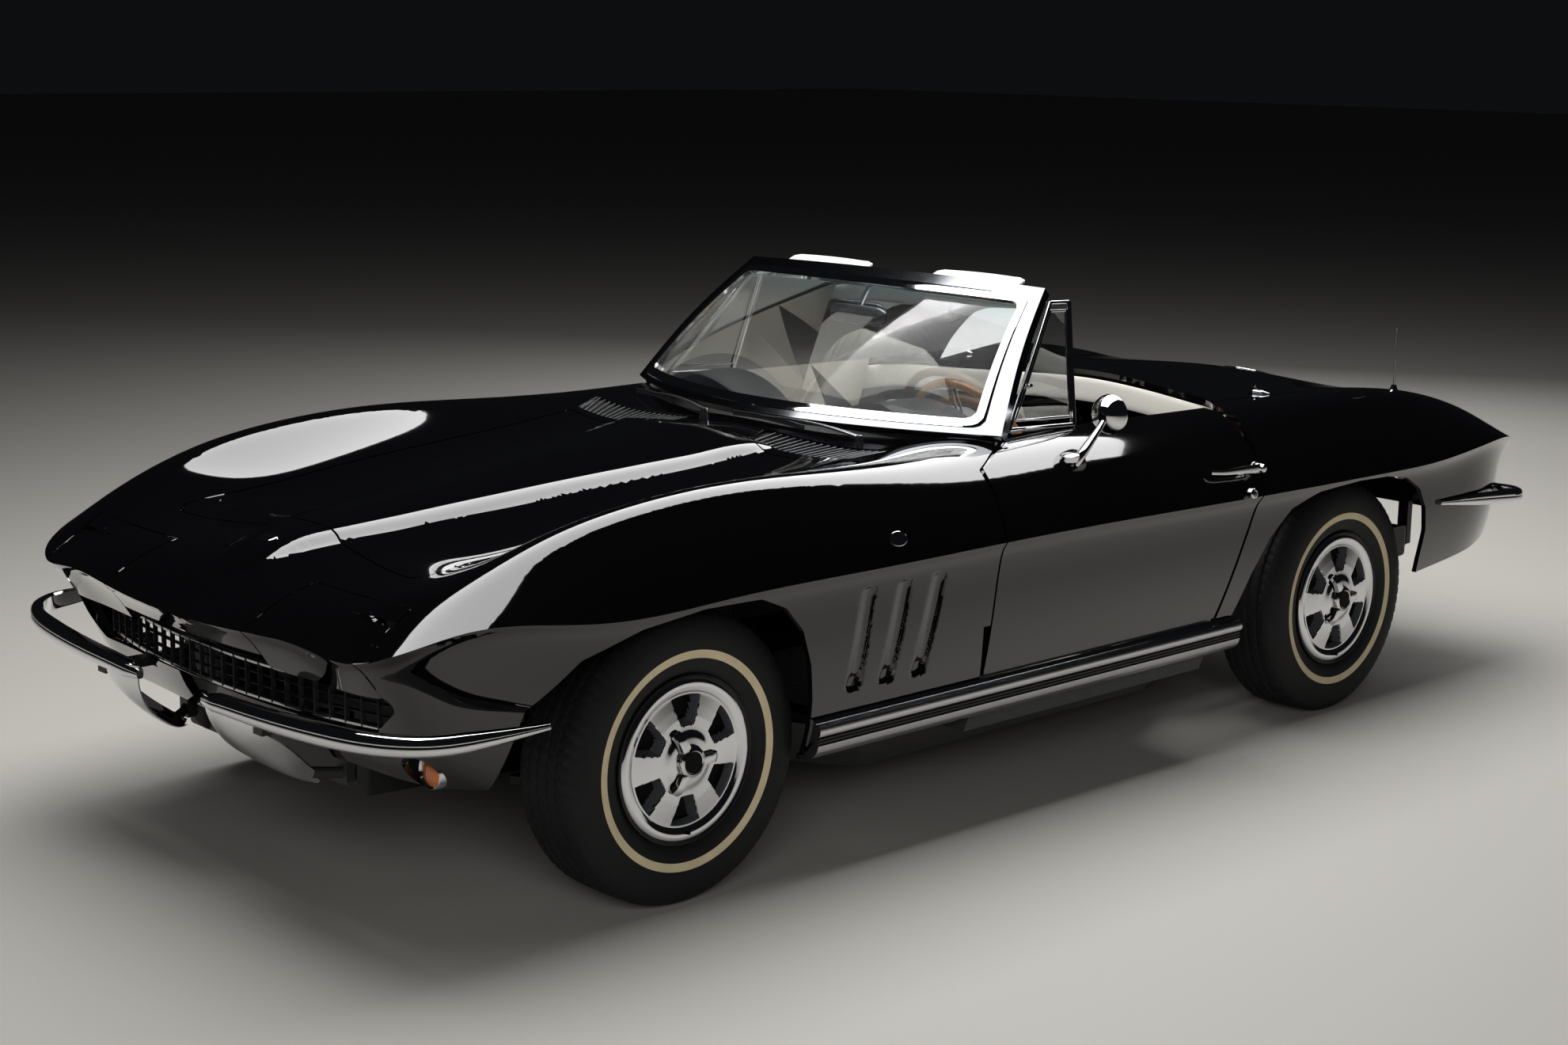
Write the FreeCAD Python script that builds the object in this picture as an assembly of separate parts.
import FreeCAD, Part
import math
import os

os.makedirs("parts", exist_ok=True)
V = FreeCAD.Vector

# A two-seat open sports car of the middle 1960s: moulded fibreglass body with a sharp
# crease all round, on a steel ladder frame.  +X is the driver's side, the nose is at -Y,
# +Z is up, and the origin is on the ground under the middle of the car.

# Overall sizes
car_length = 4448
car_width = 1768
wheelbase = 2489
front_axle_y = -1390
axle_height = 338
fender_height = 928
crease_height = 712
body_bottom = 285
wall = 14
gap = 5
overrun = 60

# Tyres and wheels
tyre_radius = 338
tyre_width = 205
rim_radius = 191
rim_wall = 9
wheel_plane_front = 716
wheel_plane_rear = 724
spindle_radius = 16
running_fit = 0.05
kingpin_x = 655
kingpin_radius = 10
steer_gap = 6

half_length = car_length / 2
half_width = car_width / 2
rear_axle_y = front_axle_y + wheelbase


def natural_spline(places, values):
    """A smooth curve through the given values: cubic pieces whose slope and bend carry on."""
    n = len(places)
    step = [places[i + 1] - places[i] for i in range(n - 1)]
    low, middle, high, right = [0.0] * n, [1.0] * n, [0.0] * n, [0.0] * n
    for i in range(1, n - 1):
        low[i], high[i] = step[i - 1], step[i]
        middle[i] = 2 * (step[i - 1] + step[i])
        right[i] = 6 * ((values[i + 1] - values[i]) / step[i] - (values[i] - values[i - 1]) / step[i - 1])
    for i in range(1, n):
        share = low[i] / middle[i - 1]
        middle[i] -= share * high[i - 1]
        right[i] -= share * right[i - 1]
    bend = [0.0] * n
    for i in range(n - 1, -1, -1):
        following = bend[i + 1] if i < n - 1 else 0.0
        bend[i] = (right[i] - high[i] * following) / middle[i]

    def curve(place):
        i = 0
        while i < n - 2 and place > places[i + 1]:
            i += 1
        a, b, h = places[i + 1] - place, place - places[i], step[i]
        return ((bend[i] * a ** 3 + bend[i + 1] * b ** 3) / (6 * h)
                + (values[i] / h - bend[i] * h / 6) * a + (values[i + 1] / h - bend[i + 1] * h / 6) * b)
    return curve


def rail(shares):
    """A height along the car, from shares of the half length and of the fender height."""
    return natural_spline([s * half_length for s, _ in shares], [h * fender_height for _, h in shares])


# Heights of the upper skin along five lines: the middle, the hood's edge, the inner and
# outer side of the fender's crown, and the crease
middle_shares = [(-1.02, .672), (-.991, .703), (-.944, .765), (-.9, .812), (-.832, .846), (-.742, .871),
                 (-.652, .897), (-.53, .929), (-.31, .975), (-.16, 1.0), (.1, 1.01), (.427, 1.0), (.56, .991),
                 (.675, .97), (.78, .925), (.88, .845), (.95, .765), (.985, .711), (1.02, .65)]
hood_edge_shares = [(-1.02, .672), (-.991, .703), (-.944, .763), (-.9, .804), (-.849, .834), (-.742, .859),
                    (-.652, .884), (-.53, .911), (-.3, .958), (-.16, .992), (.1, 1.0), (.427, .988), (.56, .977),
                    (.675, .955), (.78, .912), (.88, .836), (.95, .758), (.985, .707), (1.02, .65)]
crown_inner_shares = [(-1.02, .666), (-.972, .706), (-.93, .77), (-.88, .837), (-.8, .898), (-.75, .926),
                      (-.65, .959), (-.54, .976), (-.42, .982), (-.3, .984), (-.12, .994), (.06, .996), (.27, .99),
                      (.4, .988), (.534, .986), (.62, .978), (.692, .963), (.758, .933), (.816, .896),
                      (.876, .838), (.94, .763), (.985, .703), (1.02, .645)]
crown_outer_shares = [(-1.02, .636), (-.954, .725), (-.917, .779), (-.883, .827), (-.845, .871), (-.797, .917),
                      (-.752, .946), (-.707, .965), (-.654, .984), (-.6, .994), (-.545, .998), (-.488, .996),
                      (-.417, .988), (-.345, .977), (-.25, .965), (-.12, .962), (.06, .962), (.27, .957),
                      (.4, .962), (.534, .971), (.62, .963), (.692, .948), (.758, .918), (.816, .882),
                      (.876, .826), (.94, .753), (.985, .697), (1.02, .642)]
crease_shares = [(-1.02, .62), (-.95, .668), (-.88, .714), (-.832, .737), (-.777, .749), (-.619, .764),
                 (-.405, .768), (-.189, .771), (.06, .768), (.262, .761), (.589, .7565), (.787, .753),
                 (.854, .746), (.9, .728), (.95, .7), (1.02, .655)]
height_middle, height_hood_edge = rail(middle_shares), rail(hood_edge_shares)
height_crown_inner, height_crown_outer = rail(crown_inner_shares), rail(crown_outer_shares)
height_crease = rail(crease_shares)

# Where those lines run across the car, and how the skin falls between crown and crease
hood_edge_x = 530
crown_inner_x = 660
crown_outer_x = 740
fall_shares = [(.42, .715), (.76, .385)]

# The raised panel along the middle of the hood: a spear that widens towards the windshield
spear_tip_y = -2105
spear_end_y = -700
spear_half_width = 244
spear_tip_half_width = 24
spear_flank = 58
spear_height = 22
spear_fade = 90
spear_sink = 2


def chord_places(rows):
    """Shared places along a bundle of lines, by their mean point spacing."""
    places = [0.0]
    for i in range(len(rows[0]) - 1):
        places.append(places[-1] + sum((row[i + 1] - row[i]).Length for row in rows) / len(rows))
    return [place / places[-1] for place in places]


def line_through(points, places):
    """A smooth line that meets each point at its own place."""
    curve = Part.BSplineCurve()
    curve.interpolate(Points=points, Parameters=places)
    return curve


def smooth_surface(rows):
    """A smooth surface through a grid of points; neighbours with the same edge points share that edge."""
    along, across = chord_places(rows), chord_places(list(zip(*rows)))
    lines = [line_through(list(row), along) for row in rows]
    net = [line_through(list(column), across) for column in zip(*[line.getPoles() for line in lines])]
    surface = Part.BSplineSurface()
    surface.buildFromPolesMultsKnots(
        [curve.getPoles() for curve in net],
        lines[0].getMultiplicities(), net[0].getMultiplicities(),
        lines[0].getKnots(), net[0].getKnots(), False, False, 3, 3)
    return surface.toShape()


def smooth_step(share):
    """Rises from 0 to 1 with level ends."""
    share = min(1.0, max(0.0, share))
    return share * share * (3 - 2 * share)


def spear_edge(y):
    """Half width of the raised panel's level top at a station."""
    share = min(1.0, max(0.0, (y - spear_tip_y) / (spear_end_y - spear_tip_y)))
    return spear_tip_half_width + (spear_half_width - spear_tip_half_width) * share ** .75


def spear_rise(x, y):
    """Height of the raised panel above the skin round it."""
    grow = smooth_step((y - spear_tip_y) / (spear_flank * 4))
    fade = 1 - smooth_step((y - spear_end_y) / spear_fade)
    edge = spear_edge(y)
    return spear_height * grow * fade * (1 - smooth_step((abs(x) - edge) / spear_flank))


def section_at(y):
    """The upper skin's height across the car at one station, without the raised panel."""
    top, low = height_crown_outer(y), height_crease(y)
    places = [0, hood_edge_x, crown_inner_x, crown_outer_x]
    values = [height_middle(y), height_hood_edge(y), height_crown_inner(y), top]
    for across, height in fall_shares:
        places.append(crown_outer_x + across * (half_width - crown_outer_x))
        values.append(low + height * (top - low))
    places.append(half_width)
    values.append(low)
    mirrored = [-p for p in places[:0:-1]] + places
    return natural_spline(mirrored, values[:0:-1] + values)


# Where the upper skin is measured: along the car, and across it with the fender's outer side last
station_shares = [-1.02, -.985, -.94, -.89, -.83, -.76, -.66, -.54, -.38, -.2, 0, .2, .4, .54, .66, .76, .84, .9,
                  .95, .985, 1.02]
inner_column_shares = [0, .36, .716, .804, .892, .946, 1]
outer_column_shares = [.25, .5, .75, 1, 1.25]


def mirrored_places(half):
    """Places on both sides of the middle."""
    return [-p for p in half[:0:-1]] + half


def upper_solid(drop):
    """Everything below the upper skin, with the skin lowered by a wall."""
    half = [s * crown_outer_x for s in inner_column_shares]
    half += [crown_outer_x + (half_width - crown_outer_x) * s for s in outer_column_shares]
    rows = []
    for share in station_shares:
        section = section_at(share * half_length)
        rows.append([V(x, share * half_length, section(x) - drop) for x in mirrored_places(half)])
    return smooth_surface(rows).extrude(V(0, 0, -2 * fender_height))


def spear_solid(drop):
    """The raised panel alone, sunk a little at its foot and open to the body below."""
    steps = 15
    rows = []
    for i in range(steps + 1):
        y = spear_tip_y + (spear_end_y + spear_fade - spear_tip_y) * i / steps
        section, edge = section_at(y), spear_edge(y)
        tip_sink = spear_sink * (1 - smooth_step((y - spear_tip_y) / (2 * spear_flank)))
        half = [0, edge * .5, edge, edge + spear_flank * .33, edge + spear_flank * .67, edge + spear_flank]
        rows.append([V(x, y, section(x) + spear_rise(x, y) - drop - tip_sink - spear_sink * abs(x) / half[-1])
                     for x in mirrored_places(half)])
    return smooth_surface(rows).extrude(V(0, 0, -wall))


# The crease's outline in plan, from the nose to the tail, as shares of half width and half length
plan_shares = [(0, -.9915), (.17, -.991), (.343, -.988), (.56, -.9815), (.72, -.9735), (.81, -.957), (.872, -.927),
               (.917, -.891), (.956, -.852), (.984, -.80), (.998, -.73), (1.0, -.6), (1.0, -.4), (1.0, -.15),
               (1.0, .1), (1.0, .35), (1.0, .55), (.998, .66), (.988, .755), (.963, .845), (.925, .895),
               (.875, .935), (.805, .965), (.70, .977), (.5, .982), (.25, .985), (0, .986)]

# The side, nose and tail below the crease: how deep, and how far each lies inside the crease
side_shares = [(-1.1, 0, 0, 0), (-.25, 0, 0, 0), (0, 0, 0, 0), (.04, 9, 14, 14), (.11, 15, 36, 34),
               (.35, 17, 92, 62), (.65, 22, 150, 96), (.85, 34, 205, 150), (1.0, 56, 262, 215), (1.2, 90, 330, 290)]


def side_row(level, wall_inset):
    """Points from the nose to the tail, on the driver's side, at one depth below the crease."""
    depth, side, nose, tail = level
    row = []
    for across, along in plan_shares:
        x, y = across * half_width, along * half_length
        crease_z = section_at(y)(min(x, half_width))
        end = nose if along < 0 else tail
        x *= 1 - (side + wall_inset) / half_width
        y *= 1 - (end + wall_inset) / half_length
        if depth < -1:
            z = fender_height * 1.25
        elif depth >= 1:
            z = body_bottom - (depth - 1) * crease_height
        else:
            z = crease_z - depth * (crease_z - body_bottom)
        row.append(V(x, y, z))
    return row


def flat_cap(edge):
    """A flat face between a line on the driver's side and its mirror image."""
    other = edge.mirror(V(0, 0, 0), V(1, 0, 0))
    return Part.Face(Part.Wire([edge, other]))


def side_solid(wall_inset):
    """The body's sides, nose and tail as one closed form with flat ends above and below."""
    left = smooth_surface([side_row(level, wall_inset) for level in side_shares])
    right = left.mirror(V(0, 0, 0), V(1, 0, 0))
    by_height = sorted(left.Edges, key=lambda edge: edge.CenterOfMass.z)
    faces = [left, right, flat_cap(by_height[0]), flat_cap(by_height[-1])]
    shell = Part.Shell(faces)
    shell.sewShape()
    solid = Part.Solid(shell)
    solid.fix(1e-3, 1e-3, 1e-1)
    return solid if solid.Volume > 0 else solid.reversed()


made_forms = {}


def body_solid(wall_inset):
    """The whole closed body form, drawn in by a wall on every side."""
    if wall_inset not in made_forms:
        made_forms[wall_inset] = side_solid(wall_inset).common(upper_solid(wall_inset))
    return made_forms[wall_inset]



def box(x0, x1, y0, y1, z0, z1):
    """A plain block between two corners."""
    return Part.makeBox(x1 - x0, y1 - y0, z1 - z0, V(x0, y0, z0))


def rounded_wire(points, radii, lift):
    """A closed outline whose corners are turned into arcs; lift places each flat point in space."""
    count = len(points)
    corners = []
    for i in range(count):
        before, here, after = points[i - 1], points[i], points[(i + 1) % count]
        radius = radii[i] if isinstance(radii, (list, tuple)) else radii
        corner = V(here[0], here[1], 0)
        a, b = V(before[0], before[1], 0) - corner, V(after[0], after[1], 0) - corner
        half = a.getAngle(b) / 2
        if radius == 0 or math.pi / 2 - half < .002:
            corners.append((corner, None, corner))
            continue
        reach = min(radius / math.tan(half), a.Length * .48, b.Length * .48)
        depth = reach / math.cos(half) - reach * math.tan(half)
        middle = a.normalize() + b.normalize()
        corners.append((corner + a * reach, corner + middle.normalize() * depth, corner + b * reach))
    edges = []
    for i, (first, middle, last) in enumerate(corners):
        if middle:
            edges.append(Part.Arc(lift(first), lift(middle), lift(last)).toShape())
        following = corners[(i + 1) % count][0]
        if (following - last).Length > 1e-4:
            edges.append(Part.makeLine(lift(last), lift(following)))
    return Part.Wire(edges)


def side_prism(points, x0, x1, radii=1, skew=0):
    """An outline drawn in side view, carried across the car from x0 to x1."""
    wire = rounded_wire(points, radii, lambda p: V(x0, p.x, p.y))
    return Part.Face(wire).extrude(V(x1 - x0, (x1 - x0) * skew, 0))


def plan_prism(points, z0, z1, radii=1):
    """An outline drawn from above, carried up from z0 to z1."""
    wire = rounded_wire(points, radii, lambda p: V(p.x, p.y, z0))
    return Part.Face(wire).extrude(V(0, 0, z1 - z0))


def front_prism(points, y0, y1, radii=1):
    """An outline drawn from the front, carried back from y0 to y1."""
    wire = rounded_wire(points, radii, lambda p: V(p.x, y0, p.y))
    return Part.Face(wire).extrude(V(0, y1 - y0, 0))


def mirrored(shape):
    """The same piece on the passenger's side."""
    return shape.mirror(V(0, 0, 0), V(1, 0, 0))


def both_sides(shape):
    """A piece and its mirror image, in one node."""
    return Part.makeCompound([shape, mirrored(shape)])


def turned(profile, axis_point, axis):
    """A closed profile of (along, out) points, turned about an axis along X."""
    wire = Part.makePolygon([axis_point + V(a, 0, r) for a, r in profile + profile[:1]])
    return Part.Face(wire).revolve(axis_point, axis, 360)


def rod(start, end, radius, end_radius=None):
    """A straight round rod between two points."""
    along = end - start
    if end_radius is None or end_radius == radius:
        return Part.makeCylinder(radius, along.Length, start, along)
    return Part.makeCone(radius, end_radius, along.Length, start, along)


def save(name, shape):
    """Writes one node."""
    shape.exportStep("parts/" + name + ".step")


outer_form = body_solid(0)
inner_form = body_solid(wall)
skin = outer_form.cut(inner_form)

# Shut lines, arches and openings, as places along the car and heights in shares of the
# half length and of the crease height
def at(points):
    """Side-view points from shares of the half length and the crease height."""
    return [(y * half_length, z * crease_height) for y, z in points]


door_shares = [(-.2165, .535), (-.1945, 1.004), (-.183, 1.229), (-.150, 1.262), (-.100, 1.30), (-.100, 1.45),
               (.308, 1.45), (.3085, 1.27), (.287, 1.062), (.262, .871), (.207, .535)]
front_arch_shares = [(-.846, .50), (-.828, .75), (-.775, .885), (-.705, .95), (-.63, .978), (-.553, .972),
                     (-.517, .925), (-.4925, .84), (-.480, .72), (-.4755, .60), (-.4750, .42), (-.4750, .2), (-.85, .2)]
rear_arch_shares = [(.232, .50), (.269, .68), (.304, .812), (.348, .913), (.403, .96), (.485, .975), (.55, .97),
                    (.602, .945), (.638, .885), (.655, .80), (.660, .70), (.652, .58), (.648, .2), (.21, .2)]
underside_shares = [(-1.1, .515), (-.93, .515), (-.80, .49), (-.60, .42), (-.40, .412), (.20, .412), (.50, .45),
                    (.66, .525), (.80, .56), (1.1, .68), (1.1, -.3), (-1.1, -.3)]

# The cockpit opening and the panels above, from above the car
cockpit_half_width = 700
windshield_base_y = -266
windshield_bow = 234
cockpit_rear_y = 930
cockpit_corner_shares = [(1.0, .70), (.74, .85), (.26, .975), (0, 1.0)]
hood_front_y = -1833
hood_front_sweep = 59
hood_rear_y = -690
hood_corner = 45
deck_rear_y = 1470
deck_side_x = 610
deck_side_rear_y = 1322
deck_side_front_y = 742


def cowl_line(x):
    """How far back the cowl panel reaches, from its middle to the windshield's corners."""
    return windshield_base_y - windshield_bow * (1 - (x / cockpit_half_width) ** 2)


cowl_places = [-1, -.75, -.5, -.25, 0, .25, .5, .75, 1]
cockpit_points = [(s * cockpit_half_width, cowl_line(s * cockpit_half_width)) for s in cowl_places]
cockpit_points += [(s * cockpit_half_width, t * cockpit_rear_y) for s, t in cockpit_corner_shares]
cockpit_points += [(-s * cockpit_half_width, t * cockpit_rear_y) for s, t in cockpit_corner_shares[-2::-1]]
hood_points = [(0, hood_front_y), (spear_half_width * .47, hood_front_y),
               (hood_edge_x - 16, hood_front_y - hood_front_sweep), (hood_edge_x, hood_rear_y + 35),
               (spear_half_width, hood_rear_y), (0, hood_rear_y)]
hood_points += [(-x, y) for x, y in hood_points[-2:0:-1]]
deck_points = [(s * cockpit_half_width, t * cockpit_rear_y + gap) for s, t in cockpit_corner_shares[1:]]
deck_points = [(deck_side_x, deck_side_front_y)] + deck_points
deck_points = deck_points + [(-x, y) for x, y in deck_points[-2::-1]]
deck_points += [(-deck_side_x, deck_side_rear_y), (-deck_side_x * .5, deck_rear_y - 38), (0, deck_rear_y),
                (deck_side_x * .5, deck_rear_y - 38), (deck_side_x, deck_side_rear_y)]


def grown(points, amount):
    """An outline moved outward by a gap on every side."""
    moved = []
    area = sum(a[0] * b[1] - b[0] * a[1] for a, b in zip(points, points[1:] + points[:1]))
    amount = amount if area > 0 else -amount
    for i, here in enumerate(points):
        before, after = points[i - 1], points[(i + 1) % len(points)]
        a = V(here[0] - before[0], here[1] - before[1], 0).normalize()
        b = V(after[0] - here[0], after[1] - here[1], 0).normalize()
        out = V(a.y + b.y, -a.x - b.x, 0)
        reach = amount * 2 / out.Length ** 2
        moved.append((here[0] + out.x * reach, here[1] + out.y * reach))
    return moved


tall = fender_height * 1.5
door_front_x = half_width + overrun
door_inner_x = 655
door_hole = side_prism(at(door_shares), door_inner_x - gap * 12, door_front_x, 8)
easy_bend = half_length
cockpit_radii = [20] + [easy_bend] * 7 + [20] + [easy_bend] * 7
hood_radii = [0, 0, hood_corner, 12, 12, 0, 12, 12, hood_corner, 0]
deck_radii = [8] + [easy_bend] * 5 + [8, 20] + [easy_bend] * 3 + [20]
cockpit_hole = plan_prism(cockpit_points, fender_height * .55, tall, cockpit_radii)
hood_hole = plan_prism(grown(hood_points, gap), fender_height * .55, tall, hood_radii)
deck_hole = plan_prism(grown(deck_points, gap), fender_height * .55, tall, deck_radii)
under_cut = side_prism(at(underside_shares), -door_front_x, door_front_x)
arch_inner_x = 560
front_arch = both_sides(side_prism(at(front_arch_shares), arch_inner_x, door_front_x, 30))
rear_arch = both_sides(side_prism(at(rear_arch_shares), arch_inner_x, door_front_x, 30))


# Front body: nose, fenders and cowl in one moulding, with its inner fender walls
front_split_y = door_shares[0][0] * half_length - gap
inner_fender_x = 425
inner_fender_wall = 8
firewall_y = -612
grille_half_width = 700
grille_low, grille_high = 462, 604
pod_axis_y, pod_axis_z = -2105, 684
pod_radius = 113
pod_inner_x, pod_outer_x = 300, 655

front_zone = box(-door_front_x, door_front_x, -2 * half_length, front_split_y, -tall, tall)
cowl_zone = box(-door_front_x, door_front_x, front_split_y - 1, door_shares[4][0] * half_length - gap, .55 * fender_height, tall)
front_body = skin.common(front_zone.fuse(cowl_zone))
inner_plate = both_sides(box(inner_fender_x, inner_fender_x + inner_fender_wall, -1700, firewall_y - 40,
                             .58 * crease_height, tall)).common(outer_form)
grille_points = [(-grille_half_width, grille_high - 40), (-grille_half_width * .82, grille_low),
                 (grille_half_width * .82, grille_low), (grille_half_width, grille_high - 40),
                 (grille_half_width * .8, grille_high), (-grille_half_width * .8, grille_high)]
grille_hole = front_prism(grille_points, -2 * half_length, -1960, 25)
vent_points = [(178, -655), (540, -622), (585, -512), (135, -540)]
vent_hole = plan_prism(vent_points, .9 * crease_height, tall, 8)
pod_span = pod_outer_x - pod_inner_x


def pod_drum(grow):
    """The round space in which a headlight pod turns."""
    drum = Part.makeCylinder(pod_radius + grow, pod_span + 2 * grow, V(pod_inner_x - grow, pod_axis_y, pod_axis_z),
                             V(1, 0, 0))
    return drum


pod_holes = both_sides(pod_drum(gap))
doors_hole = both_sides(door_hole)
front_body = front_body.fuse(inner_plate.cut(hood_hole)).cut(Part.makeCompound(
    [cockpit_hole, hood_hole, under_cut, front_arch, grille_hole, pod_holes, doors_hole, both_sides(vent_hole)]))
front_body = Part.makeCompound([solid for solid in front_body.Solids if solid.Volume > 1e6])
nose_spear = spear_solid(0).cut(plan_prism(grown(hood_points, gap), 0, tall, hood_radii))
nose_spear = max(nose_spear.Solids, key=lambda solid: -solid.CenterOfMass.y)
front_body = front_body.fuse(nose_spear.cut(pod_holes))

# Hinge pins: the hood turns on two short pins near its front corners and the deck lid on two
# near its rear ones, each inside the thickness of the skin
pin_radius = 3.5
pin_reach = 26
hood_axis_y, hood_pin_x = -1780, hood_edge_x - 15
deck_axis_y = 1300
hood_axis_z = section_at(hood_axis_y)(hood_pin_x) - wall / 2
deck_axis_z = section_at(deck_axis_y)(deck_side_x) - wall / 2


def edge_pins(edge_x, axis_y, axis_z, radius):
    """A pin on each side of the car that crosses the gap at a lid's edge."""
    return both_sides(Part.makeCylinder(radius, 2 * pin_reach, V(edge_x - pin_reach, axis_y, axis_z), V(1, 0, 0)))


front_body = front_body.fuse(edge_pins(hood_pin_x, hood_axis_y, hood_axis_z, pin_radius))

# Door hinges: a leaf that hooks round from the inside of the fender to a pin near the skin
door_axis_x, door_axis_y = 864, -370
leaf_low, leaf_high, leaf_width = 701, 721, 14
leaf_elbow_x, leaf_foot_y = 800, front_split_y - 14
pin_low, pin_high = 684, 738
leaf_outline = [(door_axis_x, door_axis_y - leaf_width / 2), (door_axis_x, door_axis_y + leaf_width / 2),
                (leaf_elbow_x - leaf_width / 2, door_axis_y + leaf_width / 2),
                (leaf_elbow_x - leaf_width / 2, leaf_foot_y - leaf_width), (door_front_x, leaf_foot_y - leaf_width),
                (door_front_x, leaf_foot_y), (leaf_elbow_x + leaf_width / 2, leaf_foot_y),
                (leaf_elbow_x + leaf_width / 2, door_axis_y - leaf_width / 2)]
leaf_solid = plan_prism(leaf_outline, leaf_low, leaf_high, 0).common(body_solid(wall / 2))
leaf_solid = leaf_solid.fuse(Part.makeCylinder(leaf_width / 2, leaf_high - leaf_low, V(door_axis_x, door_axis_y, leaf_low)))
door_pin = Part.makeCylinder(pin_radius, pin_high - pin_low, V(door_axis_x, door_axis_y, pin_low))
front_body = front_body.fuse(both_sides(leaf_solid.fuse(door_pin)))
pod_pin_radius, pod_bracket, pod_pin_depth = 5, 14, 18
pod_brackets, pod_pins = [], []
for x, out in ((pod_inner_x, -1), (pod_outer_x, 1)):
    face, far = x + out * gap, x + out * (gap + pod_bracket)
    bracket = box(min(face, far), max(face, far), pod_axis_y - pod_bracket, pod_axis_y + pod_bracket,
                  pod_axis_z - pod_bracket, tall)
    pod_brackets.append(bracket.common(body_solid(wall / 2)))
    pod_pins.append(rod(V(far, pod_axis_y, pod_axis_z), V(x - out * pod_pin_depth, pod_axis_y, pod_axis_z), pod_pin_radius))
for piece in pod_brackets + pod_pins:
    front_body = front_body.fuse(both_sides(piece))
leaf_room = box(door_inner_x - overrun, door_axis_x + leaf_width / 2 + 1, leaf_foot_y - overrun,
                door_axis_y + leaf_width / 2 + gap, leaf_low - gap, leaf_high + gap)
pin_bore = Part.makeCylinder(pin_radius + running_fit, pin_high - pin_low + 2, V(door_axis_x, door_axis_y, pin_low - 1))

# Headlight pods: closed, they are the nose's own skin; they turn about a cross shaft
pod_form = outer_form.common(pod_drum(0))
lamp_radius = 60
lamp_depth = 22
pod_shelf = 42
pod_form = pod_form.cut(box(pod_inner_x - gap, pod_outer_x + gap, pod_axis_y + pod_shelf, half_length,
                            -tall, pod_axis_z + pod_shelf))
for share in (.25, .75):
    lamp = Part.makeCylinder(lamp_radius, lamp_depth, V(pod_inner_x + pod_span * share, pod_axis_y + pod_shelf - 2,
                                                         pod_axis_z - 14), V(0, 1, 0))
    pod_form = pod_form.fuse(lamp)
for pin in pod_pins:
    pin_box = pin.BoundBox
    pod_form = pod_form.cut(rod(V(pin_box.XMin - gap, pod_axis_y, pod_axis_z), V(pin_box.XMax + gap, pod_axis_y, pod_axis_z),
                                pod_pin_radius + running_fit))
save("headlight_pod_left", pod_form)
save("headlight_pod_right", mirrored(pod_form))

# Hood with its raised spear, hinged at its front edge
spear = spear_solid(0)
hood = skin.fuse(spear).common(plan_prism(hood_points, fender_height * .55, tall, hood_radii))
hood = hood.cut(edge_pins(hood_pin_x, hood_axis_y, hood_axis_z, pin_radius + running_fit))
save("hood", hood)

# Deck lid over the stowed top
deck_lid = skin.common(plan_prism(deck_points, fender_height * .55, tall, deck_radii))
deck_lid = deck_lid.cut(edge_pins(deck_side_x, deck_axis_y, deck_axis_z, pin_radius + running_fit))
save("deck_lid", deck_lid)

# Rear body: quarters, deck surround and tail
rear_zone = box(-door_front_x, door_front_x, .207 * half_length - .7, 2 * half_length, -tall, tall)
rear_body = skin.common(rear_zone).cut(Part.makeCompound(
    [cockpit_hole, deck_hole, under_cut, rear_arch, doors_hole]))
rear_body = Part.makeCompound([solid for solid in rear_body.Solids if solid.Volume > 1e6])
rear_body = rear_body.fuse(edge_pins(deck_side_x, deck_axis_y, deck_axis_z, pin_radius))

# Doors, as thick as the real door, with a slanted rear end that swings clear
front_bevel_share, rear_bevel_share = -.1, .2
door_outline = [(y * half_length + (gap if y < 0 else -gap), z * crease_height + (gap if z < 1 else 0))
                for y, z in door_shares]
door_trim = side_prism(door_outline, half_width + 1, door_inner_x, 8, front_bevel_share)
door_trim = door_trim.common(side_prism(door_outline, half_width + 1, door_inner_x, 8, rear_bevel_share))
door_left = outer_form.common(door_trim).cut(leaf_room).cut(pin_bore)
door_left = Part.makeCompound([solid for solid in door_left.Solids if solid.Volume > 1e6])
save("door_left", door_left)
save("door_right", mirrored(door_left))



def skin_height(x, y):
    """Height of the finished upper skin at a place seen from above."""
    return section_at(y)(x) + spear_rise(x, y)


def bar(points, depths, heights, squareness=2.6):
    """A bar along a line of points, with a rounded section of given half depths and half heights."""
    rings = []
    count = len(points)
    turns = 8
    for i, point in enumerate(points):
        tangent = points[min(i + 1, count - 1)] - points[max(i - 1, 0)]
        side = tangent.cross(V(0, 0, 1))
        if side.Length < tangent.Length * .02:
            side = V(1, 0, 0)
        side.normalize()
        up = side.cross(tangent).normalize()
        depth = depths[i] if isinstance(depths, (list, tuple)) else depths
        height = heights[i] if isinstance(heights, (list, tuple)) else heights
        ring = []
        for k in range(turns):
            c, s = math.cos(2 * math.pi * k / turns), math.sin(2 * math.pi * k / turns)
            ring.append(point + side * (depth * math.copysign(abs(c) ** (2 / squareness), c))
                        + up * (height * math.copysign(abs(s) ** (2 / squareness), s)))
        rings.append(Part.makePolygon(ring + ring[:1]))
    loft = Part.makeLoft(rings, True, False)
    return loft if loft.Volume > 0 else loft.reversed()


def joined(shapes):
    """Touching solids as one."""
    whole = shapes[0]
    for shape in shapes[1:]:
        whole = whole.fuse(shape)
    return whole


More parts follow.
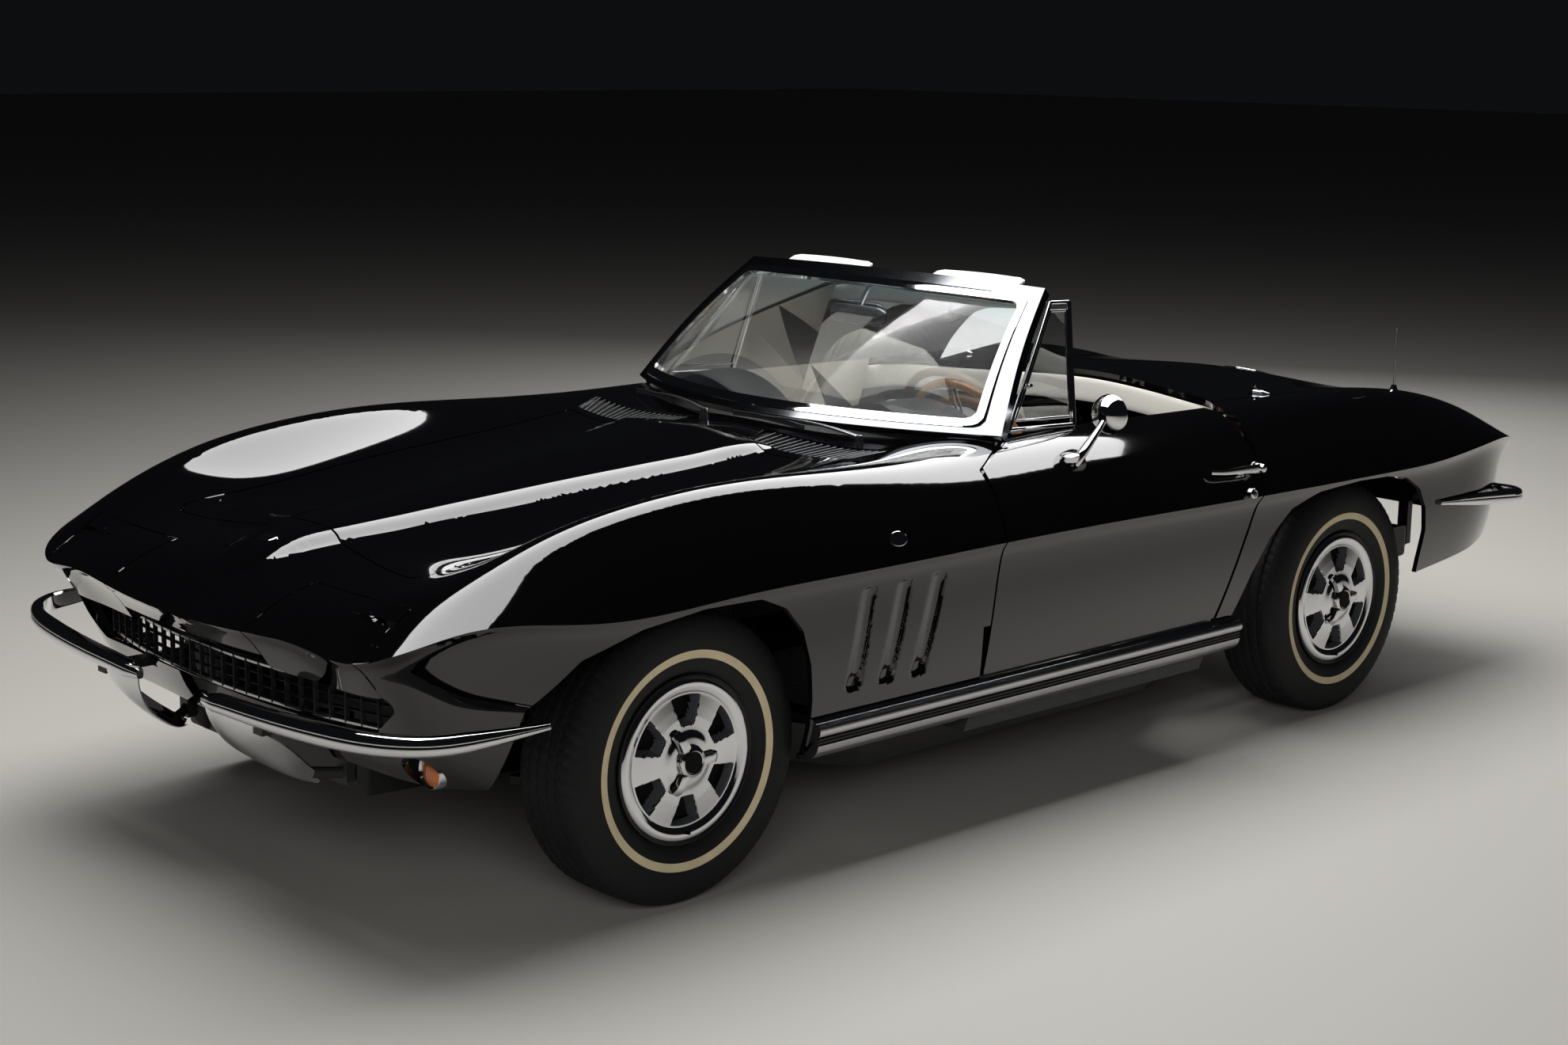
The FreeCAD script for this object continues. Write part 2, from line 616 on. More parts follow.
# Cabin tub: floor, tunnel, sills, firewall and the bulkhead behind the seats
floor_z, floor_thickness = 234.3, 12
sill_inner_x = 640
sill_top_z = 372
tunnel_half_width, tunnel_top_z = 118, 470
bulkhead_y, shelf_z = 640, 600
cabin_half_width = 690
rear_well_half_width = 560
kick_wall = 10
sill_front_y, sill_rear_y = front_split_y + .3, .207 * half_length - 1
tub = joined([
    box(-sill_inner_x - 2, sill_inner_x + 2, firewall_y, bulkhead_y, floor_z, floor_z + floor_thickness),
    box(-tunnel_half_width, tunnel_half_width, firewall_y, bulkhead_y, floor_z, tunnel_top_z),
    box(-cabin_half_width, cabin_half_width, firewall_y - kick_wall, firewall_y, floor_z, .5 * tall),
    box(-cabin_half_width, -cabin_half_width + kick_wall, firewall_y, front_split_y, floor_z, .5 * tall),
    box(cabin_half_width - kick_wall, cabin_half_width, firewall_y, front_split_y, floor_z, .5 * tall),
    box(-rear_well_half_width, rear_well_half_width, bulkhead_y, bulkhead_y + kick_wall, floor_z, shelf_z),
    box(-rear_well_half_width, rear_well_half_width, bulkhead_y, 1480, shelf_z, shelf_z + kick_wall)])
tub = tub.cut(both_sides(box(inner_fender_x - 20, 2 * half_width, -2 * half_length, firewall_y - 40, 0, tall)))
sill = outer_form.common(box(sill_inner_x, 2 * half_width, sill_front_y, sill_rear_y, floor_z, sill_top_z))
tub = tub.fuse(both_sides(sill))
under_skin = body_solid(wall + .5)
tub = tub.common(under_skin.fuse(both_sides(box(0, half_width * 1.1, sill_front_y - 1, sill_rear_y + 1, 0, sill_top_z))))
tub = tub.cut(Part.makeCompound([front_arch, rear_arch]))
tub = Part.makeCompound([solid for solid in tub.Solids if solid.Volume > 1e6])
save("cabin_tub", tub)

# Dashboard: a padded bar with two humps, and the steering column
dash_profile = [(-400, 880), (-300, 922), (-205, 918), (-165, 880), (-185, 760), (-290, 640), (-345, 660)]
dash_half_width = 636
dash = side_prism(dash_profile, -dash_half_width, dash_half_width, 18)
hump_x, hump_half_width, hump_top = 370, 235, 985
hump = Part.Face(Part.Wire([
    Part.Arc(V(hump_x - hump_half_width, -345, 900), V(hump_x, -345, hump_top),
             V(hump_x + hump_half_width, -345, 900)).toShape(),
    Part.makeLine(V(hump_x + hump_half_width, -345, 900), V(hump_x - hump_half_width, -345, 900))]))
hump = hump.extrude(V(0, 165, 0))
dash = joined([dash, hump, mirrored(hump)])
steering_center = V(370, 0, 838)
steering_tilt = math.radians(25)
column_axis = V(0, math.cos(steering_tilt), math.sin(steering_tilt))
column_radius = 28
column = rod(steering_center - column_axis * 720, steering_center - column_axis * 60, column_radius)
dash = dash.common(plan_prism([(x * .985, y if y > 0 else y + 12) for x, y in cockpit_points], 0, tall, cockpit_radii))
dash = dash.fuse(column.cut(box(-half_width, half_width, -half_length, firewall_y + .3, 0, tall)))

# Steering wheel, turning about the column's axis
wheel_rim_radius, rim_thickness = 200, 11
hub_radius = 42
spoke_width = 26
wheel_turn_gap = 4
rim_corners = [math.pi * (k + .5) / 4 for k in range(8)]
rim_ring = [V(wheel_rim_radius + rim_thickness * math.cos(t), 0, rim_thickness * math.sin(t)) for t in rim_corners]
steering_wheel = Part.Face(Part.makePolygon(rim_ring + rim_ring[:1])).revolve(V(0, 0, 0), V(0, 0, 1), 360)
steering_wheel = steering_wheel.fuse(Part.makeCylinder(hub_radius, 46, V(0, 0, -48)))
for turn in (0, 120, 240):
    spoke = Part.makeBox(wheel_rim_radius, spoke_width, 6, V(0, -spoke_width / 2, -10))
    spoke.rotate(V(0, 0, 0), V(0, 0, 1), turn + 30)
    steering_wheel = steering_wheel.fuse(spoke)
steering_wheel = steering_wheel.cut(Part.makeCylinder(column_radius * .4 + running_fit, 80, V(0, 0, -60)))
steering_wheel.rotate(V(0, 0, 0), V(1, 0, 0), -(90 - math.degrees(steering_tilt)))
steering_wheel.translate(steering_center)
column_shaft = rod(steering_center - column_axis * 60, steering_center - column_axis * 6, column_radius * .4)
dash = dash.fuse(column_shaft)
save("steering_wheel", steering_wheel)

# Seats: low buckets, their backs level with the door tops
seat_x, seat_half_width = 365, 240
seat_profile = [(-80, 300), (-95, 455), (-40, 478), (330, 430), (390, 400), (560, 872), (640, 888), (672, 860),
                (600, 640), (520, 300)]
seat_radii = [20, 60, 80, 60, 70, 60, 40, 40, 80, 20]
seat = side_prism([(y - 55, z - 40) for y, z in seat_profile], seat_x - seat_half_width, seat_x + seat_half_width,
                  seat_radii)
seat = seat.fuse(box(seat_x - 190, seat_x + 190, -60, 400, floor_z + floor_thickness, 270))
save("seat_left", seat)
save("seat_right", mirrored(seat))

# Windshield: a bowed pane in a frame that leans back from the cowl
pane_lean = V(0, -.7, .714)
frame_depth = 26
glass_thickness = 6
header_y, header_z, header_half_width, header_bow, header_rise = 61, 1268, 562, 40, 12
base_half_width, base_z = 706, 928


def windshield_point(u, v):
    """A point of the windshield's surface: u across from -1 to 1, v up from 0 to 1."""
    base = V(u * base_half_width, windshield_base_y + 12 - windshield_bow * (1 - u * u), base_z + 4 * (1 - u * u))
    header = V(u * header_half_width, header_y - header_bow * (1 - u * u), header_z + header_rise * (1 - u * u))
    belly = V(0, -.7, .714) * (18 * math.sin(math.pi * v))
    return base + (header - base) * v + belly


def windshield_patch(u_side, v_low, v_high, lift):
    """Part of the windshield's surface, moved along the lean by a lift."""
    rows = [[windshield_point(u_side * (i / 8 - 1), v_low + (v_high - v_low) * j / 5) + pane_lean * lift
             for i in range(17)] for j in range(6)]
    return smooth_surface(rows)


frame_solid = windshield_patch(1.0, 0, 1.0, -frame_depth / 2).extrude(pane_lean * frame_depth)
opening_solid = windshield_patch(.925, .07, .895, -2 * frame_depth).extrude(pane_lean * frame_depth * 4)
windshield_frame = frame_solid.cut(opening_solid)
windshield_glass = windshield_patch(.9245, .0705, .8945, -glass_thickness / 2).extrude(pane_lean * glass_thickness)
clear_of_skin = body_solid(-.3)
windshield_frame = windshield_frame.cut(clear_of_skin)
windshield_frame = max(windshield_frame.Solids, key=lambda solid: solid.Volume)
windshield_glass = windshield_glass.cut(clear_of_skin)
save("windshield_frame", windshield_frame)
dash = dash.cut(windshield_patch(1.1, -.3, .6, -frame_depth / 2 - .3).extrude(pane_lean * frame_depth * 10))
dash = max(dash.Solids, key=lambda solid: solid.Volume)
save("dashboard", dash)
save("windshield_glass", windshield_glass)

# Sun visors and the mirror between them, on the header
visor_half_length, visor_height, visor_thickness = 165, 78, 14
visors = []
for side in (-1, 1):
    visor = Part.makeBox(2 * visor_half_length, visor_thickness, visor_height,
                         V(-visor_half_length, 0, 0))
    visor = visor.makeFillet(visor_thickness * .45, visor.Edges)
    visor.rotate(V(0, 0, 0), V(1, 0, 0), -62)
    visor.translate(V(side * 285, header_y + 2, header_z - 22))
    hook = rod(V(side * 150, header_y + 8, header_z - 16), V(side * 150, header_y - 50, header_z - 14), 5)
    visors.append(visor.fuse(hook))
mirror_y, mirror_z = -70, 1165
mirror_head = box(-105, 105, mirror_y - 9, mirror_y + 9, mirror_z - 26, mirror_z + 26)
mirror_head = mirror_head.makeFillet(8, mirror_head.Edges)
mirror_stem = rod(V(0, mirror_y, mirror_z), V(0, header_y - header_bow - 30, header_z - 10), 6)
header_fittings = Part.makeCompound(visors + [mirror_head.fuse(mirror_stem)])
header_fittings = header_fittings.cut(windshield_frame)
save("visors_and_mirror", header_fittings)

# Cowl vents: slatted panels that fill the holes beside the windshield
slat_count, slat_width, slat_thickness = 13, 7, 5
vent_sunk = 2
vent_skin = body_solid(vent_sunk).cut(body_solid(vent_sunk + wall - 4))
vent_panel = vent_skin.common(plan_prism(grown(vent_points, -.3), 0, tall, 8))
vent_slots = []
for i in range(slat_count):
    share = (i + .5) / slat_count
    x = vent_points[0][0] + (vent_points[1][0] - vent_points[0][0]) * share + 5
    slot = box(x - 9, x + 9, vent_points[0][1] + 24 + 30 * share, vent_points[2][1] - 22 - 20 * (1 - share), 0, tall)
    slot.rotate(V(x, vent_points[0][1] + 60, 0), V(0, 0, 1), 0)
    vent_slots.append(slot)
vent_panel = vent_panel.cut(Part.makeCompound(vent_slots))
save("cowl_vents", both_sides(vent_panel))

# Wipers, parked across the foot of the windshield
wiper_pivot_x, wiper_pivot_y = 470, -515
wipers = []
spindle_foot = 7
for pivot_x, tip_x in ((455, 95), (-75, -435)):
    y0 = wiper_pivot_y if pivot_x > 0 else -568
    y1 = cowl_line(tip_x) - 42
    around = [skin_height(pivot_x + a, y0 + b) for a in (-spindle_foot, spindle_foot) for b in (-spindle_foot, spindle_foot)]
    foot = V(pivot_x, y0, max(around) + .3)
    high = foot + V(0, 0, 26)
    end = V(tip_x, y1, skin_height(tip_x, y1) + 24)
    spindle = rod(foot, high, spindle_foot)
    arm = bar([high - V(0, 0, 6), high + (end - high) * .5 + V(0, 0, 8), end], [7, 5, 4], [5, 4, 3])
    blade_half = (end - high).normalize() * 190
    blade = bar([end - blade_half * .9, end, end + blade_half * .5], 3, 7)
    wipers.append(joined([spindle, arm, blade]))
save("wipers", Part.makeCompound(wipers))

# Front grille: bright bars with a fine lattice between, across the nose opening
lattice_top, lattice_bottom, lattice_y = 556, 478, -2092
lattice_half_width = 590
lattice_bar, lattice_depth = 4, 16
bars = []
rib_pitch = 47


def grille_back(x):
    """How far the grille bows back towards its ends."""
    return lattice_y + 70 * (x / lattice_half_width) ** 2




def bowed_slat(low, high, front, back):
    """A level slat whose front and back edges follow the grille's bow."""
    ends, edges = [-lattice_half_width, 0, lattice_half_width], []
    for depth, order in ((front, 1), (back, -1)):
        points = [V(x, grille_back(x) + depth, low) for x in ends[::order]]
        edges.append(Part.Arc(*points).toShape())
    first, second = edges
    sides = [Part.makeLine(first.lastVertex().Point, second.firstVertex().Point),
             Part.makeLine(second.lastVertex().Point, first.firstVertex().Point)]
    return Part.Face(Part.Wire([first, sides[0], second, sides[1]])).extrude(V(0, 0, high - low))


for z, thick in ((lattice_top, 7), (lattice_bottom, 7), ((lattice_top * 2 + lattice_bottom) / 3, 2),
                 ((lattice_top + lattice_bottom * 2) / 3, 2)):
    bars.append(bowed_slat(z - thick, z + thick, -lattice_depth / 2, lattice_depth / 2))
rib_count = int(lattice_half_width * 2 / rib_pitch)
for i in range(rib_count):
    x = -lattice_half_width + (i + .5) * 2 * lattice_half_width / rib_count
    y = grille_back(x)
    bars.append(box(x - 1.5, x + 1.5, y - 6, y + 7, lattice_bottom - 5, lattice_top + 5))
grille_end = box(lattice_half_width - 8, grille_half_width, -2110, grille_back(lattice_half_width) + 6,
                 lattice_top - 5, lattice_top + 5).common(body_solid(wall + .5))
bars += [grille_end, mirrored(grille_end)]
grille = bars[0].multiFuse(bars[1:])
save("front_grille", grille)

# Bumpers: two front halves that end in blade guards, and two rear quarters
front_bumper_top = bar([V(140, -2202, 470), V(165, -2206, 478), V(300, -2203, 482), V(470, -2196, 488), V(640, -2178, 494),
                        V(755, -2142, 498), V(818, -2085, 500), V(846, -2000, 501), V(858, -1900, 503), V(862, -1818, 506)],
                       [6, 13, 16, 17, 17, 17, 16, 14, 11, 7], [12, 24, 28, 27, 26, 25, 23, 20, 15, 10])
guard = bar([V(158, -2186, 468), V(172, -2176, 420), V(200, -2140, 365), V(232, -2080, 318), V(258, -2010, 296)],
            [22, 22, 20, 17, 10], [10, 12, 12, 10, 6])
front_bumper = front_bumper_top.fuse(guard)
front_bumpers = both_sides(front_bumper)
rear_bumper = bar([V(300, 2199, 486), V(420, 2203.5, 492), V(560, 2199, 500), V(690, 2178, 508), V(780, 2120, 518),
                   V(826, 2030, 530), V(850, 1900, 545), V(862, 1760, 558), V(868, 1600, 570), V(870, 1530, 575)],
                  [8, 18, 20, 20, 20, 18, 14, 12, 10, 6], [12, 26, 28, 28, 27, 26, 24, 20, 14, 8])
rear_bumpers = both_sides(rear_bumper)

front_bumpers = front_bumpers.cut(outer_form)
rear_bumpers = rear_bumpers.cut(outer_form)
front_bumpers = Part.makeCompound([x for x in front_bumpers.Solids if x.Volume > 1e4])
rear_bumpers = Part.makeCompound([x for x in rear_bumpers.Solids if x.Volume > 1e4])

# Lamps: amber parking lamps under the front bumper, four round red lamps in the tail
parking_x, parking_z, parking_radius = 655, 395, 38
parking = rod(V(parking_x, -2060, parking_z), V(parking_x, -1900, parking_z), parking_radius)
parking = parking.cut(inner_form)
tail_lamp_z, tail_lamp_radius = 575, 68
tail_lamps = []
for x in (350, 560):
    tail_lamps.append(rod(V(x, 2240, tail_lamp_z), V(x, 2050, tail_lamp_z), tail_lamp_radius))
save("parking_lamps", both_sides(parking))

side_vent_lines = [((-888, 668), (-933, 432)), ((-769, 668), (-825, 432)), ((-653, 668), (-716, 432))]
side_vent_width, side_vent_flare = 50, 9
side_vent_depth, side_vent_foot_share = 8, 1.6
plate_hole_x, plate_hole_z, plate_hole_radius = 89, 505, 3.5
plate_holes = both_sides(rod(V(plate_hole_x, 2300, plate_hole_z), V(plate_hole_x, 2000, plate_hole_z), plate_hole_radius))
rear_body = rear_body.cut(plate_holes)
tail_holes = both_sides(Part.makeCompound([rod(V(x, 2300, tail_lamp_z), V(x, 2050, tail_lamp_z), tail_lamp_radius + .3)
                                           for x in (350, 560)]))
rear_body = rear_body.cut(tail_holes)
save("rear_body", rear_body)
tail_form = Part.makeCompound([lamp.common(body_solid(2)).cut(body_solid(wall + 14)) for lamp in tail_lamps])
save("tail_lamps", both_sides(tail_form))
side_vents = []
for (top_y, top_z), (foot_y, foot_z) in side_vent_lines:
    run = V(0, foot_y - top_y, foot_z - top_z)
    skin_x = half_width - side_vent_flare
    half = side_vent_width / 2
    ends = []
    for share, deep in ((0, side_vent_depth), (1, side_vent_depth * side_vent_foot_share)):
        center = V(skin_x, top_y, top_z) + run * share
        ends.append(Part.makePolygon([center + V(overrun, -half, 0), center + V(overrun, half, 0), center + V(-deep, half, 0),
                                      center + V(-1, -half, 0), center + V(overrun, -half, 0)]))
    side_vents.append(Part.makeLoft(ends, True, True))
front_body = front_body.cut(both_sides(Part.makeCompound(side_vents)))
front_body = front_body.cut(both_sides(rod(V(parking_x, -2300, parking_z), V(parking_x, -1850, parking_z),
                                           parking_radius + .3)))
front_body = Part.makeCompound([solid for solid in front_body.Solids if solid.Volume > 1e6])
save("front_body", front_body)

# Rocker mouldings under the doors: a ribbed face over a plain lower flank
moulding_front_y, moulding_rear_y = -1052, 548
moulding_profile = [(800, 276), (850, 284), (872, 308), (881, 330), (884, 346), (880, 368), (868, 379), (838, 379),
                    (838, 300), (800, 286)]
moulding = front_prism(moulding_profile, moulding_front_y, moulding_rear_y, [2, 20, 20, 20, 10, 10, 6, 0, 0, 2])
moulding = moulding.cut(body_solid(-.3))
moulding = max(moulding.Solids, key=lambda solid: solid.Volume)
save("rocker_mouldings", both_sides(moulding))

# Antenna on the driver's rear fender
antenna_x, antenna_y, antenna_height = 690, 1520, 180
antenna_foot = V(antenna_x, antenna_y, skin_height(antenna_x, antenna_y) + .3)
antenna = joined([rod(antenna_foot - V(0, 0, 8), antenna_foot + V(0, 0, 14), 15, 7),
                  rod(antenna_foot + V(0, 0, 13), antenna_foot + V(0, 0, antenna_height), 3, 2.2),
                  rod(antenna_foot + V(0, 0, antenna_height - 4), antenna_foot + V(0, 0, antenna_height + 4.5), 4)])
antenna = max(antenna.cut(body_solid(-.3)).Solids, key=lambda solid: solid.Volume)
save("antenna", antenna)

# Ladder frame: two box rails that run wide under the doors and rise over the axles
rail_width, rail_height = 62, 98
rail_plan = [(340, -1960), (340, -1000), (590, -640), (590, 480), (470, 720), (470, 1960)]
rail_low = [(-1960, 265), (-1640, 250), (-1000, 190), (-700, 136), (560, 136), (760, 330), (1250, 360), (1500, 300),
            (1960, 300)]


def band(points, half):
    """The closed outline of a strip of even width along a line of flat points."""
    out, back = [], []
    for i, here in enumerate(points):
        before, after = points[max(i - 1, 0)], points[min(i + 1, len(points) - 1)]
        a = V(after[0] - before[0], after[1] - before[1], 0).normalize()
        out.append((here[0] + a.y * half, here[1] - a.x * half))
        back.append((here[0] - a.y * half, here[1] + a.x * half))
    return out + back[::-1]


rail = plan_prism(band(rail_plan, rail_width / 2), 0, 600, 60)
rail_side = [(y, z) for y, z in rail_low] + [(y, z + rail_height) for y, z in reversed(rail_low)]
rail = rail.common(side_prism(rail_side, 0, half_width, 40))
cross_places = [(-1900, 335, 265), (-1390, 330, 205), (-560, 560, 140), (640, 500, 200), (1450, 470, 320), (1930, 470, 320)]
frame_parts = [rail, mirrored(rail)]
for y, reach, low in cross_places:
    frame_parts.append(box(-reach, reach, y - 35, y + 35, low, low + 60))
chassis = frame_parts[0].multiFuse(frame_parts[1:])
chassis = chassis.cut(box(-half_width, half_width, firewall_y - 60, bulkhead_y + 60, floor_z - .3, tall))
save("chassis_frame", chassis)

# Irons that hold the bumpers to the ends of the frame, through the nose and the tail
front_iron = joined([box(322, 358, -2192, -1959.8, 444, 466), box(322, 358, -2192, -2174, 444, 486),
                     box(322, 358, -1982, -1959.8, 300, 466)])
rear_iron = joined([box(452, 488, 1964.8, 2180, 470, 492), box(452, 488, 1964.8, 1990, 330, 492)])
front_irons, rear_irons = both_sides(front_iron), both_sides(rear_iron)
front_irons = front_irons.cut(chassis)
rear_irons = rear_irons.cut(chassis)
front_body = front_body.cut(both_sides(box(316, 364, -2300, -1900, 438, 472)))
front_body = Part.makeCompound([solid for solid in front_body.Solids if solid.Volume > 1e6])
rear_body = rear_body.cut(both_sides(box(446, 494, 1900, 2300, 464, 498)))
save("front_body", front_body)
save("rear_body", rear_body)
front_bumpers = front_bumpers.fuse(front_irons)
rear_bumpers = rear_bumpers.fuse(rear_irons)
save("front_bumpers", front_bumpers)
save("rear_bumpers", rear_bumpers)

# Engine as one plain block with its gearbox, and the radiator ahead of it
engine = joined([box(-255, 255, -1420, -760, 290, 640), box(-308.7, 308.7, -1120, -1060, 292, 330), box(-90, 90, -1420, -760, 640, 740),
                 box(-150, 150, -1330, -850, 272, 300), rod(V(0, -1150, 739), V(0, -1150, 785), 165)])
save("engine", engine)
radiator = box(-300, 300, -1745, -1690, 330, 715).fuse(box(-308.7, 308.7, -1740, -1695, 330, 350))
save("radiator", radiator)

# Exhaust: a pipe and silencer each side, and the tail pipes
pipe_radius = 26
rear_pipe_z = 320 - pipe_radius - .3
low_pipe_z = 200
exhaust_half = joined([
    rod(V(190, -900, low_pipe_z), V(190, -900, 289.7), pipe_radius), Part.makeSphere(pipe_radius, V(190, -900, low_pipe_z)),
    rod(V(190, -900, low_pipe_z), V(190, 760, low_pipe_z), pipe_radius),
    rod(V(190, 760, low_pipe_z), V(330, 960, 225), pipe_radius),
    Part.makeSphere(pipe_radius, V(190, 760, low_pipe_z)), Part.makeSphere(pipe_radius, V(330, 960, 225)),
    rod(V(330, 960, 225), V(330, 1340, 225), pipe_radius), Part.makeSphere(pipe_radius, V(330, 1340, 225)),
    rod(V(330, 1340, 225), V(330, 1400, rear_pipe_z), pipe_radius), Part.makeSphere(pipe_radius, V(330, 1400, rear_pipe_z)),
    rod(V(330, 1400, rear_pipe_z), V(330, 1560, rear_pipe_z), pipe_radius),
    rod(V(330, 1560, rear_pipe_z), V(330, 1880, rear_pipe_z), 60),
    rod(V(330, 1880, rear_pipe_z), V(330, 2190, rear_pipe_z), pipe_radius)])
pipe_room = both_sides(rod(V(190, -960, low_pipe_z), V(190, 760, low_pipe_z), pipe_radius + .3))
chassis = chassis.cut(pipe_room)
save("chassis_frame", chassis)
tank = box(-260, 260, 1425, 1950, 380.3, 585)
save("fuel_tank", tank.makeFillet(25, tank.Edges))

# Front suspension: wishbones and coil springs, carrying the knuckles at their kingpins
lower_z, upper_z, arm_thick = 226, 430, 18
spring_radius = 52


def wishbone(z, inner_x, spread, thick):
    """A flat arm with two feet on the frame and one eye round the kingpin."""
    points = [(inner_x, front_axle_y - spread), (kingpin_x - 8, front_axle_y - 30), (kingpin_x + 26, front_axle_y - 12),
              (kingpin_x + 26, front_axle_y + 12), (kingpin_x - 8, front_axle_y + 30), (inner_x, front_axle_y + spread),
              (inner_x, front_axle_y + spread - 55), (kingpin_x - 90, front_axle_y), (inner_x, front_axle_y - spread + 55)]
    arm = plan_prism(points, z - thick / 2, z + thick / 2, 8)
    eye = Part.makeCylinder(28, thick, V(kingpin_x, front_axle_y, z - thick / 2))
    return arm.fuse(eye).cut(Part.makeCylinder(kingpin_radius + running_fit, 4 * thick,
                                               V(kingpin_x, front_axle_y, z - 2 * thick)))


lower_arm = wishbone(lower_z, 372, 170, arm_thick)
upper_arm = wishbone(upper_z, 372, 140, arm_thick)
spring = rod(V(470, front_axle_y, lower_z + 5), V(470, front_axle_y, 520), spring_radius)
spring_seat = box(372, 470, front_axle_y - 60, front_axle_y + 60, 505, 540)
front_suspension = joined([lower_arm, upper_arm, spring, spring_seat])
front_suspension = front_suspension.cut(box(-2 * half_width, 371, -3000, 3000, 0, tall))
front_suspension = front_suspension.cut(chassis).cut(front_body)
save("front_suspension", both_sides(front_suspension))

# Knuckles: an upright turned on its kingpin, with the stub that carries the wheel
upright_low, upright_high = lower_z + arm_thick / 2 + .3, upper_z - arm_thick / 2 - .3
knuckle = joined([
    Part.makeCylinder(24, upright_high - upright_low, V(kingpin_x, front_axle_y, upright_low)),
    Part.makeCylinder(kingpin_radius, upper_z - lower_z + arm_thick, V(kingpin_x, front_axle_y, lower_z - arm_thick / 2)),
    rod(V(kingpin_x, front_axle_y, axle_height), V(wheel_plane_front - 2, front_axle_y, axle_height), 30),
    rod(V(wheel_plane_front - 4, front_axle_y, axle_height), V(wheel_plane_front + 52, front_axle_y, axle_height),
        spindle_radius)])
save("knuckle_left", knuckle)
save("knuckle_right", mirrored(knuckle))

# Rear suspension: a differential, driven half-shafts, trailing arms and stub axles
diff = joined([box(-110, 110, rear_axle_y - 130, rear_axle_y + 120, 255, 420)])
half_shaft = rod(V(105, rear_axle_y, 325), V(600, rear_axle_y, axle_height), 22)
trailing = box(572, 602, rear_axle_y - 420, rear_axle_y + 60, 285, 365)
hub_carrier = rod(V(560, rear_axle_y, axle_height), V(wheel_plane_rear - 2, rear_axle_y, axle_height), 40)
stub = rod(V(wheel_plane_rear - 4, rear_axle_y, axle_height), V(wheel_plane_rear + 52, rear_axle_y, axle_height),
           spindle_radius)
leaf = box(-560, 560, rear_axle_y + 125, rear_axle_y + 185, 262, 300)
leaf_link = box(540, 575, rear_axle_y + 40, rear_axle_y + 185, 262, 300)
leaf_mount = box(-100, 100, rear_axle_y + 119, rear_axle_y + 126, 262, 300)
rear_suspension = joined([diff, half_shaft, trailing, hub_carrier, stub, mirrored(half_shaft), mirrored(trailing),
                          mirrored(hub_carrier), mirrored(stub), leaf, leaf_link, mirrored(leaf_link), leaf_mount])
rear_suspension = rear_suspension.cut(chassis)
rear_suspension = Part.makeCompound([x for x in rear_suspension.Solids if x.Volume > 1e5])
exhaust_half = exhaust_half.cut(rear_suspension).cut(chassis)
exhaust_half = Part.makeCompound([x for x in exhaust_half.Solids if x.Volume > 1e5])
save("rear_suspension", rear_suspension)
save("exhaust", both_sides(exhaust_half))

# Tyres and wheels, drawn about their own middle plane with the outer face at +X
tyre_profile = [(-84, rim_radius), (-102.5, 262), (-90, 324), (-68, tyre_radius), (68, tyre_radius), (90, 324),
                (102.5, 262), (84, rim_radius)]
rim_profile = [(-90, rim_radius - 14), (-90, rim_radius - .3), (-82, rim_radius - .3), (-60, rim_radius - .3),
               (82, rim_radius - .3), (90, rim_radius - .3), (90, rim_radius - 14), (30, rim_radius - 22),
               (30, 34), (52, 34), (52, spindle_radius + running_fit), (0, spindle_radius + running_fit), (0, 34),
               (20, 34), (20, rim_radius - 22), (-60, rim_radius - 22)]
cover_profile = [(84, 176), (92, 184), (94, 176), (86, 152), (94, 70), (100, 62), (104, 30), (104, 0), (90, 0), (90, 40),
                 (84, 62), (78, 150)]


def tyre_at(plane, axle_y, side):
    """A tyre on its wheel, on either side of the car."""
    tyre = turned([(plane + a, r) for a, r in tyre_profile], V(0, axle_y, axle_height), V(1, 0, 0))
    return tyre if side > 0 else mirrored(tyre)


def wheel_at(plane, axle_y, side):
    """A steel wheel with its slotted cover and three-bar cap."""
    center = V(0, axle_y, axle_height)
    rim = turned([(plane + a, r) for a, r in rim_profile], center, V(1, 0, 0))
    cover = turned([(plane + a, r) for a, r in cover_profile], center, V(1, 0, 0))
    slots = []
    for i in range(6):
        slot = Part.Face(Part.makePolygon([
            V(plane + 60, axle_y - 17, axle_height + 84), V(plane + 60, axle_y + 17, axle_height + 84),
            V(plane + 60, axle_y + 32, axle_height + 146), V(plane + 60, axle_y - 32, axle_height + 146),
            V(plane + 60, axle_y - 17, axle_height + 84)])).extrude(V(60, 0, 0))
        slot.rotate(center, V(1, 0, 0), 60 * i)
        slots.append(slot)
    cover = cover.cut(Part.makeCompound(slots))
    bars = []
    for i in range(3):
        wing = Part.Face(Part.makePolygon([
            V(plane + 100, axle_y - 17, axle_height), V(plane + 100, axle_y + 17, axle_height),
            V(plane + 100, axle_y + 13, axle_height + 74), V(plane + 100, axle_y - 13, axle_height + 74),
            V(plane + 100, axle_y - 17, axle_height)])).extrude(V(9, 0, 0))
        wing.rotate(center, V(1, 0, 0), 120 * i)
        bars.append(wing)
    hub = rod(V(plane + 100, axle_y, axle_height), V(plane + 114, axle_y, axle_height), 34, 30)
    wheel = rim.fuse([cover, hub] + bars)
    return wheel if side > 0 else mirrored(wheel)


